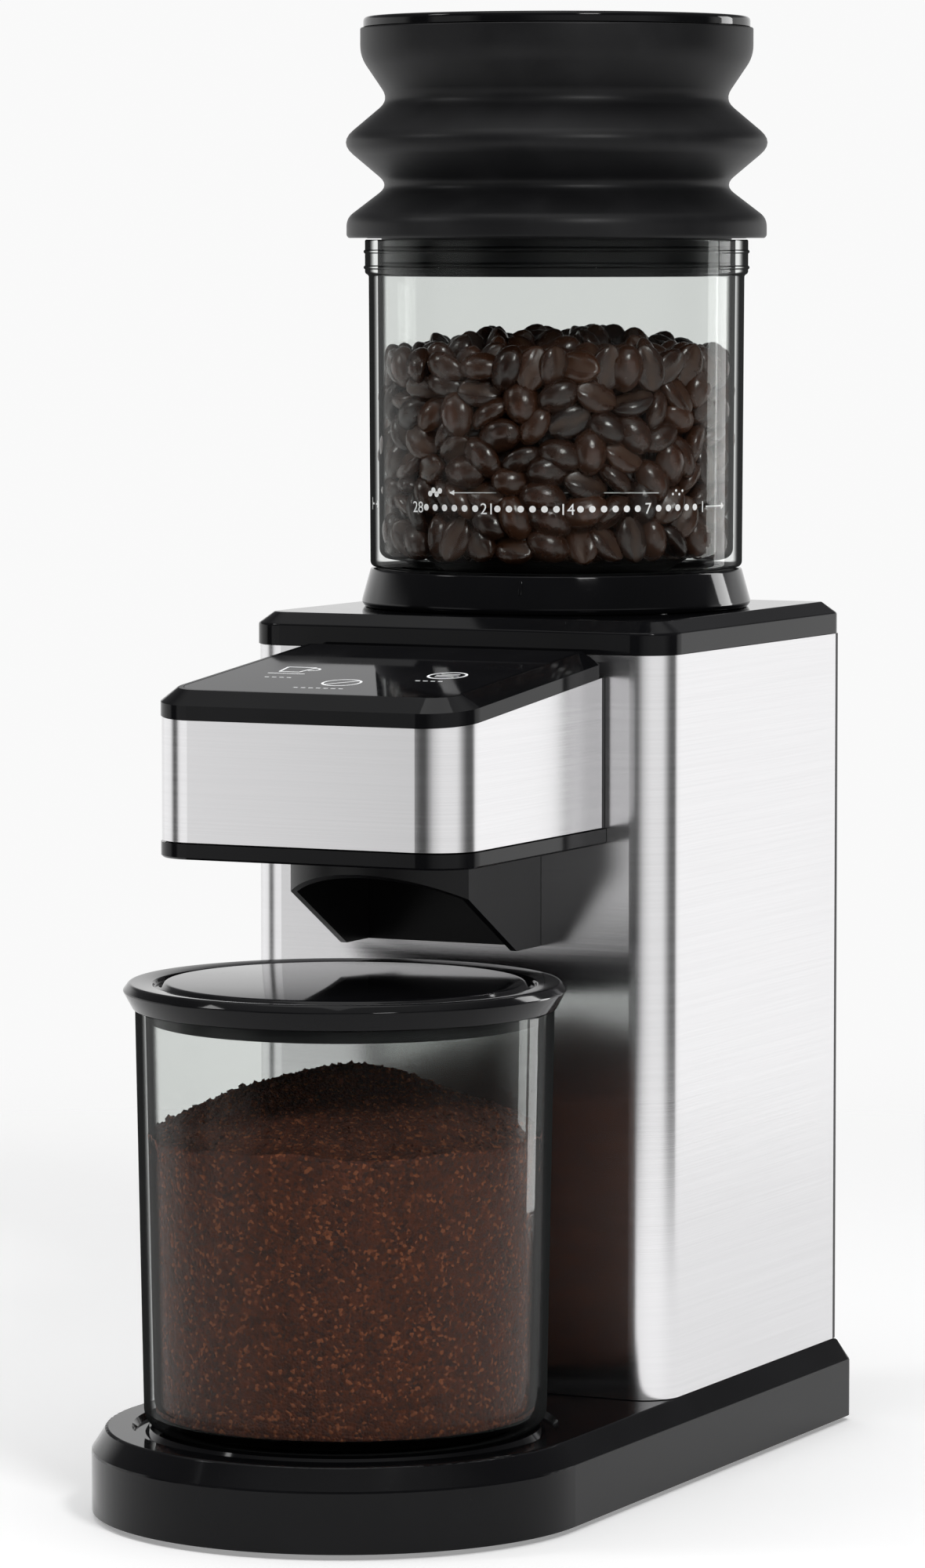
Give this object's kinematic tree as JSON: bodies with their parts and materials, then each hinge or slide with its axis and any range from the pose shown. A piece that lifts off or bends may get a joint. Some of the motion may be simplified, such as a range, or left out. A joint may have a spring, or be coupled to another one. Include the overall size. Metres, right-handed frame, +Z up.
{
  "type": "burr coffee grinder",
  "caption": "Electric burr coffee grinder with a turning clear hopper, a bellows lid, a cantilevered touch-key head with a chute, and a clear lidded jar on a round-nosed base.",
  "frame": {"origin": "centre of the footprint, on the worktop", "axes": "+Z up, the jar and control head face -Y, +X to the right as seen from the front"},
  "size_m": [0.1284, 0.2455, 0.3801],
  "materials": {
    "black_gloss": "piano-black gloss",
    "black_satin": "black satin",
    "steel_wrap": "horizontally brushed stainless steel",
    "steel_band": "horizontally brushed stainless steel",
    "rubber_black": "matt black rubber",
    "silicone_black": "satin black silicone",
    "clear_hopper": "clear, slightly smoky",
    "clear_jar": "clear",
    "panel_glass": "black back-printed glass",
    "screw_steel": "plated steel",
    "frame_plastic": "dark grey moulding",
    "white_plastic": "natural moulding",
    "board_green": "glass-fibre board",
    "motor_steel": "zinc-plated drawn steel",
    "lamination": "laminated core",
    "ferrite": "sintered ferrite",
    "carbon": "carbon",
    "copper": "copper",
    "bronze": "sintered bronze",
    "gear_steel": "cut steel",
    "gear_nylon": "nylon",
    "burr_steel": "hardened steel",
    "gearbox_cast": "die-cast aluminium"
  },
  "bodies": {
    "housing": {"base_tray": "black_gloss", "base_plate": "frame_plastic", "rubber_feet": "rubber_black", "base_screws": "screw_steel", "body_wrap": "steel_wrap", "rear_cover": "black_satin", "cord_gland": "rubber_black", "rear_screws": "screw_steel", "inner_frame": "frame_plastic", "top_cap": "black_gloss", "hopper_collar": "black_gloss", "collar_screws": "screw_steel", "head_frame": "black_satin", "head_band": "steel_band", "head_top": "black_gloss", "touch_panel": "panel_glass", "head_floor": "black_gloss", "head_screws": "screw_steel", "control_board": "board_green", "chute": "black_satin", "grounds_duct": "white_plastic", "motor_can": "motor_steel", "motor_magnets": "ferrite", "motor_end_bell": "white_plastic", "motor_bush": "bronze", "carbon_brushes": "carbon", "motor_screws": "screw_steel", "idler_pin": "gear_steel", "gearbox_case": "gearbox_cast", "gearbox_cover": "gearbox_cast", "gearbox_screws": "screw_steel", "shaft_bush_lower": "bronze", "shaft_bush_upper": "bronze", "grind_chamber": "white_plastic", "interlock_switch": "black_satin", "power_board": "board_green"},
    "rotor": {"motor_shaft": "gear_steel", "rotor_core": "lamination", "commutator": "copper", "motor_pinion": "gear_steel"},
    "idler": {"idler_gear": "gear_nylon"},
    "spindle": {"burr_shaft": "gear_steel", "output_gear": "gear_nylon", "sweeper": "gear_nylon", "inner_burr": "burr_steel", "burr_nut": "gear_steel"},
    "adjuster": {"adjuster_ring": "gear_nylon"},
    "ring_burr": {"outer_burr": "burr_steel", "burr_carrier": "white_plastic", "burr_screws": "screw_steel"},
    "hopper": {"hopper_glass": "clear_hopper", "hopper_base": "black_gloss"},
    "hopper_lid": {"lid_plug": "black_satin", "lid_seals": "silicone_black", "bellows": "silicone_black"},
    "lid_button": {"bellows_cap": "black_gloss"},
    "safety_pin": {"switch_plunger": "gear_steel"},
    "jar_body": {"jar": "clear_jar"},
    "jar_cover": {"jar_lid": "black_gloss", "jar_seal": "silicone_black"}
  },
  "joints": [
    {"name": "motor_spin", "type": "hinge", "parent": "housing", "child": "rotor", "pos_m": [0, 0.06695, 0], "axis": [0, 0, 1], "continuous": true},
    {"name": "idler_spin", "type": "hinge", "parent": "housing", "child": "idler", "pos_m": [0, 0.03695, 0], "axis": [0, 0, 1], "continuous": true},
    {"name": "burr_spin", "type": "hinge", "parent": "housing", "child": "spindle", "pos_m": [0, 0.06695, 0], "axis": [0, 0, 1], "continuous": true},
    {"name": "hopper_turn", "type": "hinge", "parent": "housing", "child": "adjuster", "pos_m": [0, 0.06695, 0], "axis": [0, 0, 1], "range_deg": [-61.2, 36]},
    {"name": "burr_gap", "type": "slide", "parent": "housing", "child": "ring_burr", "axis": [0, 0, 1], "range_m": [-0.00045, 0.0003]},
    {"name": "hopper_lift", "type": "slide", "parent": "adjuster", "child": "hopper", "axis": [0, 0, 1], "range_m": [0, 0.12]},
    {"name": "lid_lift", "type": "slide", "parent": "hopper", "child": "hopper_lid", "axis": [0, 0, 1], "range_m": [0, 0.06]},
    {"name": "bellows_press", "type": "slide", "parent": "hopper_lid", "child": "lid_button", "axis": [0, 0, -1], "range_m": [0, 0.024], "stiffness_N_per_m": 300, "springref_m": -0.002, "deforming": ["bellows"]},
    {"name": "safety_press", "type": "slide", "parent": "housing", "child": "safety_pin", "axis": [0, 0, -1], "range_m": [0, 0.0025], "stiffness_N_per_m": 60, "springref_m": -0.001},
    {"name": "jar_slide", "type": "slide", "parent": "housing", "child": "jar_body", "axis": [0, -1, 0], "range_m": [0, 0.16]},
    {"name": "jar_lid_lift", "type": "slide", "parent": "jar_body", "child": "jar_cover", "axis": [0, 0, 1], "range_m": [0, 0.0035]}
  ],
  "couplings": [
    {"joint": "idler_spin", "follows": "motor_spin", "ratio": -0.25},
    {"joint": "burr_spin", "follows": "motor_spin", "ratio": 0.083333},
    {"joint": "burr_gap", "follows": "hopper_turn", "m_per_rad": 0.00039789}
  ]
}
